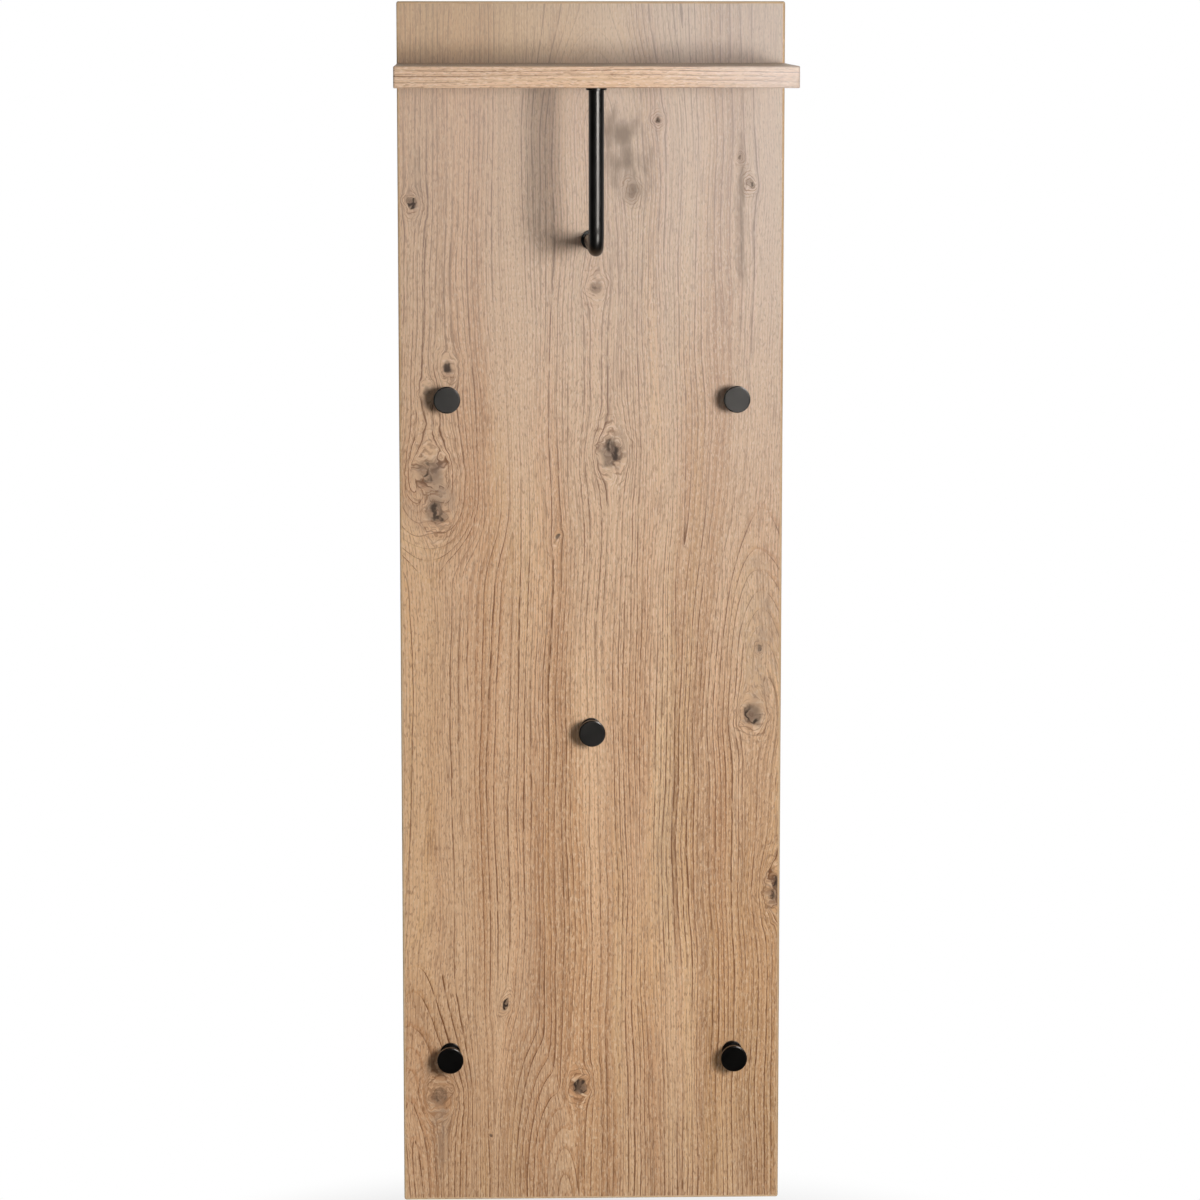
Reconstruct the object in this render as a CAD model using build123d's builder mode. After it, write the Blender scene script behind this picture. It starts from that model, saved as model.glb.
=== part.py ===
"""Wall hook rack: a tall wood-decor panel with a shelf, a bent hanging rail and five knob hooks.

Units are millimetres. The origin is the centre of the panel's back face, which lies on the wall.
X runs to the right along the wall, Y into the wall, and Z up, so the rack stands off towards -Y.
"""
from build123d import *
import os

# Panel and its edge banding
panel_width = 520.0
panel_height = 1650.0
panel_thickness = 18.0
edge_band = 3.0
panel_edge_radius = 2.5

# Shelf
shelf_reach = 262.0
shelf_thickness = 28.0
shelf_top_drop = 82.0
shelf_edge_radius = 1.5

# Dowels and connecting screws between shelf and panel
dowel_diameter = 8.0
dowel_length = 35.0
dowel_in_panel = 11.0
dowel_inset = 140.0
shelf_screw_inset = 60.0
shelf_screw_head = 10.0
shelf_screw_head_rim = 1.0
shelf_screw_shank = 7.0
shelf_screw_core = 5.0
shelf_screw_length = 50.0
shelf_screw_sink = 0.6

# Hanging rail
rail_diameter = 20.0
rail_wall = 1.5
rail_setback = 26.0
rail_drop = 208.0
rail_bend_radius = 30.0
rail_rosette_diameter = 27.0
rail_rosette_thickness = 3.0
rail_socket_depth = 1.0
rail_insert_length = 15.0
rail_wall_grip = 9.0
rail_shelf_grip = 12.0
rail_cap_thickness = 3.0
rail_cap_bore = 14.0
rosette_bevel = 0.6

# Knob hooks
hook_inset = 65.0
hook_top_drop = 530.0
hook_row_pitch = 455.0
hook_rosette_diameter = 28.0
hook_rosette_thickness = 4.0
hook_neck_diameter = 18.0
hook_neck_length = 36.0
hook_head_diameter = 36.0
hook_head_thickness = 8.0
hook_head_bevel = 1.2
hook_screw_grip = 6.0
tap_runout = 0.5

# Machine screws that hold the hooks and the rail
screw_diameter = 6.0
screw_head_diameter = 12.0
screw_head_height = 3.6
screw_head_sink = 0.4
counterbore_margin = 0.75

# Keyhole hanger plates let into the back
plate_width = 30.0
plate_height = 60.0
plate_thickness = 2.0
plate_corner_radius = 4.0
plate_inset = 65.0
plate_drop = 45.0
keyhole_entry = 10.0
keyhole_slot = 5.5
keyhole_travel = 12.0
head_pocket_width = 16.0
head_pocket_height = 30.0
head_pocket_depth = 9.0
plate_screw_pitch = 44.0
plate_screw_diameter = 3.5
plate_screw_head = 7.0
plate_screw_length = 14.0

# Clearances
fit_gap = 0.1
thread_gap = 0.05
hole_gap = 0.25
recess_gap = 0.2
end_gap = 1.0

# Places worked out from the sizes above
panel_front = Plane.XZ.offset(panel_thickness)
panel_back = Plane.ZX
panel_top = panel_height / 2
shelf_top = panel_top - shelf_top_drop
shelf_under = shelf_top - shelf_thickness
shelf_middle = shelf_top - shelf_thickness / 2
shelf_front_y = -panel_thickness - shelf_reach
shelf_screw_rim_end = shelf_screw_sink + shelf_screw_head_rim
rail_axis_z = shelf_under - rail_drop
rail_axis_y = shelf_front_y + rail_setback
rail_seat = rail_rosette_thickness - rail_socket_depth
plate_z = panel_top - plate_drop
counterbore_depth = screw_head_height + screw_head_sink
counterbore_radius = screw_head_diameter / 2 + counterbore_margin
screw_hole_radius = screw_diameter / 2 + hole_gap
tapped_radius = screw_diameter / 2 + thread_gap
neck_seat = panel_thickness + hook_rosette_thickness
head_seat = neck_seat + hook_neck_length

hook_x = panel_width / 2 - hook_inset
plate_x = panel_width / 2 - plate_inset
dowel_x = panel_width / 2 - dowel_inset
shelf_screw_x = panel_width / 2 - shelf_screw_inset
hook_rows = [panel_top - hook_top_drop - row * hook_row_pitch for row in range(3)]
hook_places = {
    "hook_top_left": (-hook_x, hook_rows[0]),
    "hook_top_right": (hook_x, hook_rows[0]),
    "hook_centre": (0.0, hook_rows[1]),
    "hook_bottom_left": (-hook_x, hook_rows[2]),
    "hook_bottom_right": (hook_x, hook_rows[2]),
}
plate_places = {
    "hanger_plate_left": (-plate_x, plate_z),
    "hanger_plate_right": (plate_x, plate_z),
}
dowel_places = [(x, shelf_middle) for x in (-dowel_x, dowel_x)]
shelf_screw_places = [(x, shelf_middle) for x in (-shelf_screw_x, 0, shelf_screw_x)]
plate_screw_places = [
    (x, z + side * plate_screw_pitch / 2)
    for x, z in plate_places.values()
    for side in (-1, 1)
]


def on_back(places):
    """Points on the wall side of the panel, whose plane counts height first and width second."""
    return [(z, x) for x, z in places]


def cut_from(blank, low, high):
    """The share of a rounded blank that lies between two corners, as one strip of edge band."""
    middle = tuple((a + b) / 2 for a, b in zip(low, high))
    size = [b - a for a, b in zip(low, high)]
    with BuildPart() as strip:
        add(blank)
        with Locations(middle):
            Box(*size, mode=Mode.INTERSECT)
    return strip.part


def top_rim(piece, face):
    """The outer edge of the face that lies furthest along a plane's normal."""
    top = piece.faces().sort_by(Axis(face.origin, face.z_dir))[-1]
    return top.outer_wire().edges()


def machine_screw(seat, length):
    """A screw whose head sits behind a plane and whose shank runs out along the plane's normal."""
    with BuildPart() as screw:
        with BuildSketch(seat):
            Circle(screw_head_diameter / 2)
        extrude(amount=-screw_head_height)
        with BuildSketch(seat):
            Circle(screw_diameter / 2)
        extrude(amount=length)
    return screw.part


def write(piece, name):
    """Label a finished piece and write it as one STEP file."""
    piece.label = name
    export_step(piece, f"parts/{name}.step")


os.makedirs("parts", exist_ok=True)

# ---------------------------------------------------------------- panel

# The banded outline: plan corners first, then the long edges of both faces
with BuildPart() as panel_blank:
    with Locations((0, -panel_thickness / 2, 0)):
        Box(panel_width, panel_thickness, panel_height)
    fillet(panel_blank.edges().filter_by(Axis.Y), edge_band)
    faces_by_depth = panel_blank.faces().filter_by(Plane.XZ).sort_by(Axis.Y)
    fillet(faces_by_depth[0].edges() + faces_by_depth[-1].edges(), panel_edge_radius)

core_x = panel_width / 2 - edge_band
core_z = panel_height / 2 - edge_band
panel_strips = {
    "panel_edge_left": ((-panel_width / 2, -core_z), (-core_x, core_z)),
    "panel_edge_right": ((core_x, -core_z), (panel_width / 2, core_z)),
    "panel_edge_top": ((-panel_width / 2, core_z), (panel_width / 2, panel_height / 2)),
    "panel_edge_bottom": ((-panel_width / 2, -panel_height / 2), (panel_width / 2, -core_z)),
}
for name, ((x0, z0), (x1, z1)) in panel_strips.items():
    write(cut_from(panel_blank.part, (x0, -panel_thickness, z0), (x1, 0, z1)), name)

plate_recess_floor = panel_back.offset(-plate_thickness)
with BuildPart() as panel_board:
    with Locations((0, -panel_thickness / 2, 0)):
        Box(2 * core_x, panel_thickness, 2 * core_z)
    # Stepped holes for the screws of the hooks and of the rail
    with Locations(panel_back):
        with Locations(*on_back(list(hook_places.values()) + [(0, rail_axis_z)])):
            CounterBoreHole(screw_hole_radius, counterbore_radius, counterbore_depth)
    # Holes for the connecting screws, sunk for their cone heads
    with Locations(panel_back.offset(-shelf_screw_rim_end)):
        with Locations(*on_back(shelf_screw_places)):
            CounterSinkHole(
                shelf_screw_shank / 2 + fit_gap,
                shelf_screw_head / 2 + fit_gap,
                counter_sink_angle=90,
            )
    with BuildSketch(panel_back):
        with Locations(*on_back(shelf_screw_places)):
            Circle(shelf_screw_head / 2 + fit_gap)
    extrude(amount=-shelf_screw_rim_end, mode=Mode.SUBTRACT)
    # Blind dowel holes in the front face
    with BuildSketch(panel_front):
        with Locations(*dowel_places):
            Circle(dowel_diameter / 2 + fit_gap)
    extrude(amount=-dowel_in_panel - end_gap, mode=Mode.SUBTRACT)
    # Recesses for the hanger plates, and behind each a pocket for the head of the wall screw
    with BuildSketch(panel_back):
        with Locations(*on_back(plate_places.values())):
            RectangleRounded(
                plate_height + 2 * recess_gap,
                plate_width + 2 * recess_gap,
                plate_corner_radius + recess_gap,
            )
    extrude(amount=-plate_thickness, mode=Mode.SUBTRACT)
    with BuildSketch(plate_recess_floor):
        with Locations(*on_back(plate_places.values())):
            SlotOverall(head_pocket_height, head_pocket_width)
    extrude(amount=-head_pocket_depth, mode=Mode.SUBTRACT)
    with BuildSketch(plate_recess_floor):
        with Locations(*on_back(plate_screw_places)):
            Circle(plate_screw_diameter / 2 + thread_gap)
    extrude(amount=plate_thickness - plate_screw_length - end_gap, mode=Mode.SUBTRACT)
write(panel_board.part, "panel_board")

# ---------------------------------------------------------------- shelf

with BuildPart() as shelf_blank:
    with Locations((0, (shelf_front_y - panel_thickness) / 2, shelf_middle)):
        Box(panel_width, shelf_reach, shelf_thickness)
    front_corners = shelf_blank.edges().filter_by(Axis.Z).group_by(Axis.Y)[0]
    fillet(front_corners, edge_band)
    faces_by_height = shelf_blank.faces().filter_by(Plane.XY).sort_by(Axis.Z)
    round_edges = faces_by_height[0].edges().sort_by(Axis.Y)[:-1]
    round_edges += faces_by_height[-1].edges().sort_by(Axis.Y)[:-1]
    fillet(round_edges, shelf_edge_radius)

core_y = shelf_front_y + edge_band
shelf_strips = {
    "shelf_edge_left": ((-panel_width / 2, core_y), (-core_x, -panel_thickness)),
    "shelf_edge_right": ((core_x, core_y), (panel_width / 2, -panel_thickness)),
    "shelf_edge_front": ((-panel_width / 2, shelf_front_y), (panel_width / 2, core_y)),
}
for name, ((x0, y0), (x1, y1)) in shelf_strips.items():
    write(cut_from(shelf_blank.part, (x0, y0, shelf_under), (x1, y1, shelf_top)), name)

shelf_screw_in_shelf = shelf_screw_length + shelf_screw_sink - panel_thickness
cap_bore_depth = rail_cap_thickness + counterbore_depth
with BuildPart() as shelf_board:
    with Locations((0, (core_y - panel_thickness) / 2, shelf_middle)):
        Box(2 * core_x, -panel_thickness - core_y, shelf_thickness)
    with BuildSketch(panel_front):
        with Locations(*dowel_places):
            Circle(dowel_diameter / 2 + fit_gap)
    extrude(amount=dowel_length - dowel_in_panel + end_gap, mode=Mode.SUBTRACT)
    with BuildSketch(panel_front):
        with Locations(*shelf_screw_places):
            Circle(shelf_screw_core / 2 + fit_gap)
    extrude(amount=shelf_screw_in_shelf + end_gap, mode=Mode.SUBTRACT)
    with Locations((0, rail_axis_y, shelf_top)):
        CounterBoreHole(screw_hole_radius, rail_cap_bore / 2, cap_bore_depth)
write(shelf_board.part, "shelf_board")

with BuildPart() as shelf_dowels:
    with BuildSketch(panel_front.offset(-dowel_in_panel)):
        with Locations(*dowel_places):
            Circle(dowel_diameter / 2)
    extrude(amount=dowel_length)
    chamfer(shelf_dowels.edges().filter_by(GeomType.CIRCLE), dowel_diameter / 10)
write(shelf_dowels.part, "shelf_dowels")

# Connecting screws: a sunk cone head, a plain shank through the panel and a thinner core
shank_end = panel_thickness - shelf_screw_sink
cone_height = (shelf_screw_head - shelf_screw_shank) / 2
with BuildPart() as one_shelf_screw:
    with BuildSketch(Plane.XY):
        with BuildLine():
            Polyline(
                (0, 0),
                (shelf_screw_head / 2, 0),
                (shelf_screw_head / 2, -shelf_screw_head_rim),
                (shelf_screw_shank / 2, -shelf_screw_head_rim - cone_height),
                (shelf_screw_shank / 2, -shank_end),
                (shelf_screw_core / 2, -shank_end),
                (shelf_screw_core / 2, -shelf_screw_length),
                (0, -shelf_screw_length),
                close=True,
            )
        make_face()
    revolve(axis=Axis.Y)
with BuildPart() as shelf_screws:
    with Locations(*[(x, -shelf_screw_sink, z) for x, z in shelf_screw_places]):
        add(one_shelf_screw.part)
write(shelf_screws.part, "shelf_screws")

# ---------------------------------------------------------------- hanging rail

rail_wall_end = (0, -panel_thickness - rail_seat, rail_axis_z)
rail_corner = (0, rail_axis_y, rail_axis_z)
rail_shelf_end = (0, rail_axis_y, shelf_under - rail_seat)
with BuildPart() as rail_tube:
    with BuildLine() as rail_path:
        FilletPolyline(rail_wall_end, rail_corner, rail_shelf_end, radius=rail_bend_radius)
    with BuildSketch(Plane(origin=rail_path.line @ 0, z_dir=rail_path.line % 0)):
        Circle(rail_diameter / 2)
        Circle(rail_diameter / 2 - rail_wall, mode=Mode.SUBTRACT)
    sweep()
write(rail_tube.part, "rail_tube")

# Each end of the rail stands on a face, and its plane looks out of that face along the tube
rail_ends = {
    "wall": Plane((0, -panel_thickness, rail_axis_z), x_dir=(1, 0, 0), z_dir=(0, -1, 0)),
    "shelf": Plane((0, rail_axis_y, shelf_under), x_dir=(1, 0, 0), z_dir=(0, 0, -1)),
}
for end, face in rail_ends.items():
    # The rosette has a shallow socket in which the tube stands
    with BuildPart() as rosette:
        with BuildSketch(face):
            Circle(rail_rosette_diameter / 2)
        extrude(amount=rail_rosette_thickness)
        chamfer(top_rim(rosette, face), rosette_bevel)
        with BuildSketch(face):
            Circle(screw_hole_radius)
        extrude(amount=rail_rosette_thickness, mode=Mode.SUBTRACT)
        with BuildSketch(face.offset(rail_seat)):
            Circle(rail_diameter / 2 + fit_gap)
        extrude(amount=rail_socket_depth, mode=Mode.SUBTRACT)
    write(rosette.part, f"rail_rosette_{end}")

    # A tapped plug pressed into the end of the tube
    with BuildPart() as insert:
        with BuildSketch(face.offset(rail_seat)):
            Circle(rail_diameter / 2 - rail_wall - fit_gap)
            Circle(tapped_radius, mode=Mode.SUBTRACT)
        extrude(amount=rail_insert_length)
    write(insert.part, f"rail_insert_{end}")

# The wall end is screwed through the panel, the shelf end through the shelf under a cover cap
wall_screw_seat = rail_ends["wall"].offset(counterbore_depth - panel_thickness)
wall_screw_length = panel_thickness - counterbore_depth + rail_seat + rail_wall_grip
write(machine_screw(wall_screw_seat, wall_screw_length), "rail_screw_wall")

shelf_screw_seat = Plane((0, rail_axis_y, shelf_top - cap_bore_depth), z_dir=(0, 0, -1))
top_screw_length = shelf_thickness - cap_bore_depth + rail_seat + rail_shelf_grip
write(machine_screw(shelf_screw_seat, top_screw_length), "rail_screw_shelf")

with BuildPart() as rail_screw_cap:
    with BuildSketch(Plane((0, rail_axis_y, shelf_top - rail_cap_thickness))):
        Circle(rail_cap_bore / 2 - fit_gap)
    extrude(amount=rail_cap_thickness)
write(rail_screw_cap.part, "rail_screw_cap")

# ---------------------------------------------------------------- knob hooks

# A hook is a rosette, a sleeve and a tapped head, clamped to the panel by a screw from behind
hook_screw_length = head_seat - counterbore_depth + hook_screw_grip
hook_screw_list = []
for name, (x, z) in hook_places.items():
    face = Plane((x, -panel_thickness, z), x_dir=(1, 0, 0), z_dir=(0, -1, 0))
    with BuildPart() as rosette:
        with BuildSketch(face):
            Circle(hook_rosette_diameter / 2)
        extrude(amount=hook_rosette_thickness)
        chamfer(top_rim(rosette, face), rosette_bevel)
        with BuildSketch(face):
            Circle(screw_hole_radius)
        extrude(amount=hook_rosette_thickness, mode=Mode.SUBTRACT)
    write(rosette.part, f"{name}_rosette")

    with BuildPart() as neck:
        with BuildSketch(face.offset(hook_rosette_thickness)):
            Circle(hook_neck_diameter / 2)
            Circle(screw_hole_radius, mode=Mode.SUBTRACT)
        extrude(amount=hook_neck_length)
    write(neck.part, f"{name}_neck")

    head_back = face.offset(hook_rosette_thickness + hook_neck_length)
    with BuildPart() as head:
        with BuildSketch(head_back):
            Circle(hook_head_diameter / 2)
        extrude(amount=hook_head_thickness)
        chamfer(top_rim(head, head_back), hook_head_bevel)
        with BuildSketch(head_back):
            Circle(tapped_radius)
        extrude(amount=hook_screw_grip + tap_runout, mode=Mode.SUBTRACT)
    write(head.part, f"{name}_head")

    seat = face.offset(counterbore_depth - panel_thickness)
    hook_screw_list.append(machine_screw(seat, hook_screw_length))

with BuildPart() as hook_screws:
    add(hook_screw_list)
write(hook_screws.part, "hook_screws")

# ---------------------------------------------------------------- keyhole hanger plates

for name, (x, z) in plate_places.items():
    outside = Plane((x, 0, z), x_dir=(-1, 0, 0), z_dir=(0, 1, 0))
    with BuildPart() as plate:
        with BuildSketch(outside):
            RectangleRounded(plate_width, plate_height, plate_corner_radius)
            # The round entry lies below the slot, so the rack drops onto its wall screws
            with Locations((0, -keyhole_travel / 2)):
                Circle(keyhole_entry / 2, mode=Mode.SUBTRACT)
            SlotCenterToCenter(keyhole_travel, keyhole_slot, rotation=90, mode=Mode.SUBTRACT)
        extrude(amount=-plate_thickness)
        with Locations(outside):
            with Locations((0, -plate_screw_pitch / 2), (0, plate_screw_pitch / 2)):
                CounterSinkHole(
                    plate_screw_diameter / 2 + hole_gap,
                    plate_screw_head / 2 + hole_gap,
                    counter_sink_angle=90,
                )
    write(plate.part, name)

with BuildPart() as one_plate_screw:
    with BuildSketch(Plane.XY):
        with BuildLine():
            Polyline(
                (0, 0),
                (plate_screw_head / 2, 0),
                (plate_screw_diameter / 2, -(plate_screw_head - plate_screw_diameter) / 2),
                (plate_screw_diameter / 2, -plate_screw_length),
                (0, -plate_screw_length),
                close=True,
            )
        make_face()
    revolve(axis=Axis.Y)
with BuildPart() as hanger_screws:
    with Locations(*[(x, 0, z) for x, z in plate_screw_places]):
        add(one_plate_screw.part)
write(hanger_screws.part, "hanger_screws")
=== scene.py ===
"""Dresses the wall hook rack: oak decor boards, black satin metal, zinc fasteners and a plain studio."""
import math

import bmesh
import bpy
from bmesh.types import BMEdge, BMVert
from bpy.props import FloatProperty, FloatVectorProperty, IntProperty, PointerProperty
from mathutils import Matrix, Vector


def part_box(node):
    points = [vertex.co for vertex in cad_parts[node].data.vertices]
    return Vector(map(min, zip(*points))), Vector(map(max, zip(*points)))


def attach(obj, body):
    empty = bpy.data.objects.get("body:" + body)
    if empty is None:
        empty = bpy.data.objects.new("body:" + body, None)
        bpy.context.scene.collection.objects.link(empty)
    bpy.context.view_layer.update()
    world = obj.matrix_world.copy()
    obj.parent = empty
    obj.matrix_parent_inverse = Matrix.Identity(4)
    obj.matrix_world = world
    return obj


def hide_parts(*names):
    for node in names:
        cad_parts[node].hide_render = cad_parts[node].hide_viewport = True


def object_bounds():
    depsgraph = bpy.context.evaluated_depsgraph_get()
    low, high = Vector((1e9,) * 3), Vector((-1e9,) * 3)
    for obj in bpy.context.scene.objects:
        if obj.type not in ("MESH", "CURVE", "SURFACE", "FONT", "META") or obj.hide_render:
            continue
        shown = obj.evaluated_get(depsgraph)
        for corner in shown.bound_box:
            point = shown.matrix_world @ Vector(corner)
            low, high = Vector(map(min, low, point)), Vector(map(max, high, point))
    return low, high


bl_info = {
    "name": "Wall Hook Rack",
    "version": (1, 0, 0),
    "blender": (4, 5, 0),
    "location": "View3D > Sidebar > Hook Rack",
    "description": "Builds the visible pieces, finishes and studio of a wall hook rack",
    "category": "Object",
}

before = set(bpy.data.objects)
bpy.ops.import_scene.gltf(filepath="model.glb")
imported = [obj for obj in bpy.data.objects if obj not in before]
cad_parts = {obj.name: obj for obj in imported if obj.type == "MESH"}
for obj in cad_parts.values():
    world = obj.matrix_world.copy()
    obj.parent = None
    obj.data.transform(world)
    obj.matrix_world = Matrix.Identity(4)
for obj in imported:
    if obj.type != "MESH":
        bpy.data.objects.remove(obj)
CAD_LOW, CAD_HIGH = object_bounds()
BODY = "root"
HOOKS = ("hook_top_left", "hook_top_right", "hook_centre", "hook_bottom_left", "hook_bottom_right")
# Points closer than this are one point, in metres
MERGE = 1e-6
# Edges and faces closer than this lie on each other, in metres
NEAR = 1e-4
WHITE = (1, 1, 1, 1)


def size_of(node):
    """The three side lengths of a node of the frame."""
    low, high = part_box(node)
    return Vector(high) - Vector(low)


def middle_of(node):
    """The centre of a node of the frame."""
    low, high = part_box(node)
    return (Vector(low) + Vector(high)) / 2


# ------------------------------------------------------------------ settings


class HookRackShape(bpy.types.PropertyGroup):
    """Sizes of the rounded and turned forms."""

    band_radius: FloatProperty(
        name="Panel Edge Radius",
        description="Rounding along the long edges of the panel's bands",
        default=0.0025,
        min=0.0,
        unit="LENGTH",
    )
    shelf_radius: FloatProperty(
        name="Shelf Edge Radius",
        description="Rounding along the edges of the shelf's bands",
        default=0.0015,
        min=0.0,
        unit="LENGTH",
    )
    head_bevel: FloatProperty(
        name="Hook Head Bevel",
        description="Bevel round the front of each hook's head",
        default=0.0012,
        min=0.0,
        unit="LENGTH",
    )
    rosette_bevel: FloatProperty(
        name="Rosette Bevel",
        description="Bevel round the front of each rosette",
        default=0.0006,
        min=0.0,
        unit="LENGTH",
    )
    bend_radius: FloatProperty(
        name="Rail Bend Radius",
        description="Radius of the rail's bend, measured at the tube's centre line",
        default=0.030,
        min=0.01,
        unit="LENGTH",
    )
    band_corner: FloatProperty(
        name="Corner Radius",
        description="Rounding of the panel's and the shelf's outer corners, seen from the front",
        default=0.003,
        min=0.0,
        unit="LENGTH",
    )
    rail_wall: FloatProperty(
        name="Rail Wall",
        description="Wall thickness of the rail's tube",
        default=0.0015,
        min=0.0002,
        unit="LENGTH",
    )
    socket_depth: FloatProperty(
        name="Rosette Socket Depth",
        description="How deep the rail stands in its rosettes",
        default=0.001,
        min=0.0,
        unit="LENGTH",
    )
    fit_gap: FloatProperty(
        name="Fit Gap",
        description="Clearance round the rail in its rosettes",
        default=0.0001,
        min=0.0,
        unit="LENGTH",
    )
    screw_hole: FloatProperty(
        name="Screw Hole",
        description="Diameter of the bore through rosettes and necks",
        default=0.0065,
        min=0.001,
        unit="LENGTH",
    )
    tapped_hole: FloatProperty(
        name="Tapped Hole",
        description="Diameter of the tapped hole in each hook's head",
        default=0.0061,
        min=0.001,
        unit="LENGTH",
    )
    head_web: FloatProperty(
        name="Head Web",
        description="Metal left in front of the tapped hole of each hook's head",
        default=0.0015,
        min=0.0002,
        unit="LENGTH",
    )
    pan_head: FloatProperty(
        name="Screw Head",
        description="Diameter of the machine screws' pan heads",
        default=0.012,
        min=0.002,
        unit="LENGTH",
    )
    pan_height: FloatProperty(
        name="Screw Head Height",
        description="Height of the machine screws' pan heads",
        default=0.0036,
        min=0.001,
        unit="LENGTH",
    )
    pan_shank: FloatProperty(
        name="Screw Shank",
        description="Diameter of the machine screws' shanks",
        default=0.006,
        min=0.001,
        unit="LENGTH",
    )
    plate_bevel: FloatProperty(
        name="Plate Bevel",
        description="Easing round the rims of the keyhole plates",
        default=0.0003,
        min=0.0,
        unit="LENGTH",
    )
    turned_segments: IntProperty(
        name="Turned Segments",
        description="Flats round each turned piece",
        default=96,
        min=12,
    )
    rail_segments: IntProperty(
        name="Rail Segments",
        description="Flats round the rail's tube",
        default=72,
        min=12,
    )
    bend_steps: IntProperty(
        name="Bend Steps",
        description="Steps along the rail's bend",
        default=28,
        min=4,
    )


class HookRackColours(bpy.types.PropertyGroup):
    """Colours of the finishes, as linear values."""

    oak_light: FloatVectorProperty(
        name="Oak Light",
        description="Palest latewood of the oak decor",
        subtype="COLOR",
        size=3,
        min=0.0,
        max=1.0,
        default=(0.680, 0.475, 0.325),
    )
    oak_middle: FloatVectorProperty(
        name="Oak Middle",
        description="Body colour of the oak decor",
        subtype="COLOR",
        size=3,
        min=0.0,
        max=1.0,
        default=(0.530, 0.330, 0.200),
    )
    oak_dark: FloatVectorProperty(
        name="Oak Dark",
        description="Darkest earlywood of the oak decor",
        subtype="COLOR",
        size=3,
        min=0.0,
        max=1.0,
        default=(0.185, 0.085, 0.042),
    )
    knot: FloatVectorProperty(
        name="Knot",
        description="Core of the knots",
        subtype="COLOR",
        size=3,
        min=0.0,
        max=1.0,
        default=(0.050, 0.033, 0.024),
    )
    black_coat: FloatVectorProperty(
        name="Black Coat",
        description="Satin powder coat of the rail and hooks",
        subtype="COLOR",
        size=3,
        min=0.0,
        max=1.0,
        default=(0.001, 0.001, 0.001),
    )
    zinc: FloatVectorProperty(
        name="Zinc",
        description="Plated steel of the screws and hanger plates",
        subtype="COLOR",
        size=3,
        min=0.0,
        max=1.0,
        default=(0.62, 0.63, 0.65),
    )


class HookRackStudio(bpy.types.PropertyGroup):
    """Camera and light of the studio."""

    camera_distance: FloatProperty(
        name="Camera Distance",
        description="From the panel's front to the camera",
        default=5.6,
        min=1.0,
        unit="LENGTH",
    )
    camera_aside: FloatProperty(
        name="Camera Aside",
        description="How far the camera stands left of the panel's centre line",
        default=0.16,
        unit="LENGTH",
    )
    key_power: FloatProperty(
        name="Key Power",
        description="Power of the small softbox on the right that casts the shadows, in watts",
        default=118.0,
        min=0.0,
    )
    broad_power: FloatProperty(
        name="Broad Power",
        description="Power of the large softbox round the key, in watts",
        default=20.0,
        min=0.0,
    )
    fill_power: FloatProperty(
        name="Fill Power",
        description="Power of the wide fill on the left, in watts",
        default=4.0,
        min=0.0,
    )
    shine_power: FloatProperty(
        name="Shine Power",
        description="Power of the softbox on the right that only shines in gloss, in watts",
        default=27.0,
        min=0.0,
    )
    bend_power: FloatProperty(
        name="Bend Power",
        description="Power of the softbox that shines in the rail's lower bend, in watts",
        default=3.2,
        min=0.0,
    )
    rim_power: FloatProperty(
        name="Rim Power",
        description="Power of the softbox above that only shines in gloss, in watts",
        default=260.0,
        min=0.0,
    )
    back_power: FloatProperty(
        name="Back Power",
        description="Power of the softbox behind the rack, in watts",
        default=120.0,
        min=0.0,
    )
    room_gloss: FloatProperty(
        name="Room Gloss",
        description="How bright the room in front looks in glossy surfaces, where 1 is white",
        default=0.015,
        min=0.0,
        max=1.0,
    )
    frame_fill: FloatProperty(
        name="Frame Fill",
        description="Share of the picture's height that the panel fills",
        default=0.998,
        min=0.1,
        max=1.0,
    )
    aim_aside: FloatProperty(
        name="Aim Aside",
        description="How far right of the panel's centre line the camera looks",
        default=0.012,
        unit="LENGTH",
    )
    floor_drop: FloatProperty(
        name="Floor Drop",
        description="How far the floor lies under the panel",
        default=0.20,
        min=0.0,
        unit="LENGTH",
    )
    floor_radius: FloatProperty(
        name="Floor Radius",
        description="How far the floor reaches round the panel's middle",
        default=0.95,
        min=0.1,
        unit="LENGTH",
    )
    ambient: FloatProperty(
        name="Ambient",
        description="Strength of the surrounding light on the object",
        default=0.10,
        min=0.0,
    )


class HookRackSettings(bpy.types.PropertyGroup):
    """All the settings of the hook rack."""

    shape: PointerProperty(type=HookRackShape)
    colours: PointerProperty(type=HookRackColours)
    studio: PointerProperty(type=HookRackStudio)


def settings():
    """The hook rack's settings in the current scene."""
    return bpy.context.scene.hook_rack


# ------------------------------------------------------------------ node trees


def put(tree, kind, inputs=None, **choices):
    """Adds a node, makes its choices, and sets or links its inputs."""
    node = tree.nodes.new(kind)
    column, row = divmod(len(tree.nodes), 8)
    node.location = (column * 220, -row * 260)
    for choice, value in choices.items():
        setattr(node, choice, value)
    for socket, value in (inputs or {}).items():
        if isinstance(value, bpy.types.NodeSocket):
            tree.links.new(value, node.inputs[socket])
        else:
            node.inputs[socket].default_value = value
    return node


def reckon(tree, operation, *values):
    """The result of a Math node."""
    return put(tree, "ShaderNodeMath", dict(enumerate(values)), operation=operation).outputs[0]


def times(tree, first, *others):
    """The product of two or more values."""
    for other in others:
        first = reckon(tree, "MULTIPLY", first, other)
    return first


def strayed(tree, value, noise, reach):
    """A value led off by a noise, by up to half the reach either way."""
    return reckon(tree, "MULTIPLY_ADD", reckon(tree, "SUBTRACT", noise, 0.5), reach, value)


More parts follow.
